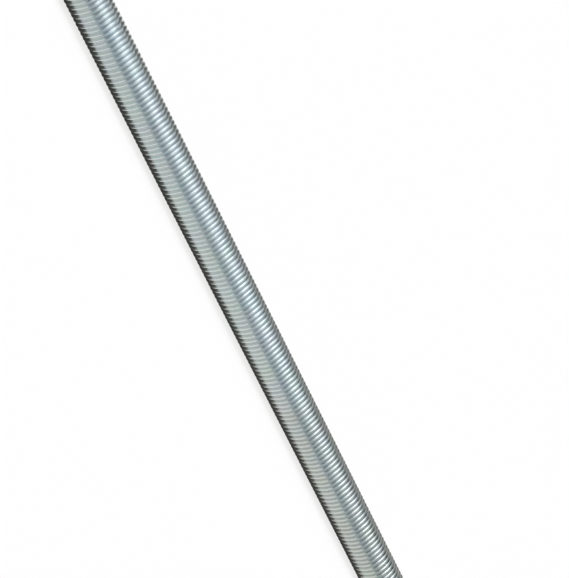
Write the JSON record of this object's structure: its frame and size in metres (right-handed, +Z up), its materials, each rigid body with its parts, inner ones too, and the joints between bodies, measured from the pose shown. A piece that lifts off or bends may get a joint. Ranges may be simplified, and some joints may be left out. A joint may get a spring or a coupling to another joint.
{
  "type": "threaded rod",
  "caption": "Straight zinc-plated steel rod with a coarse metric left-hand thread over its whole length and chamfered ends, for hanging, bracing and clamping with nuts.",
  "frame": {"origin": "middle of the rod, on its axis", "axes": "+X along the rod, from one end face to the other; +Z up when the rod lies down"},
  "size_m": [0.3, 0.016, 0.016],
  "materials": {
    "zinc_plate": "bright zinc plate on rolled steel, smooth and glossy, with slight dulling and small marks on the thread crests"
  },
  "bodies": {
    "root": {"threaded_rod": "zinc_plate"}
  },
  "joints": []
}
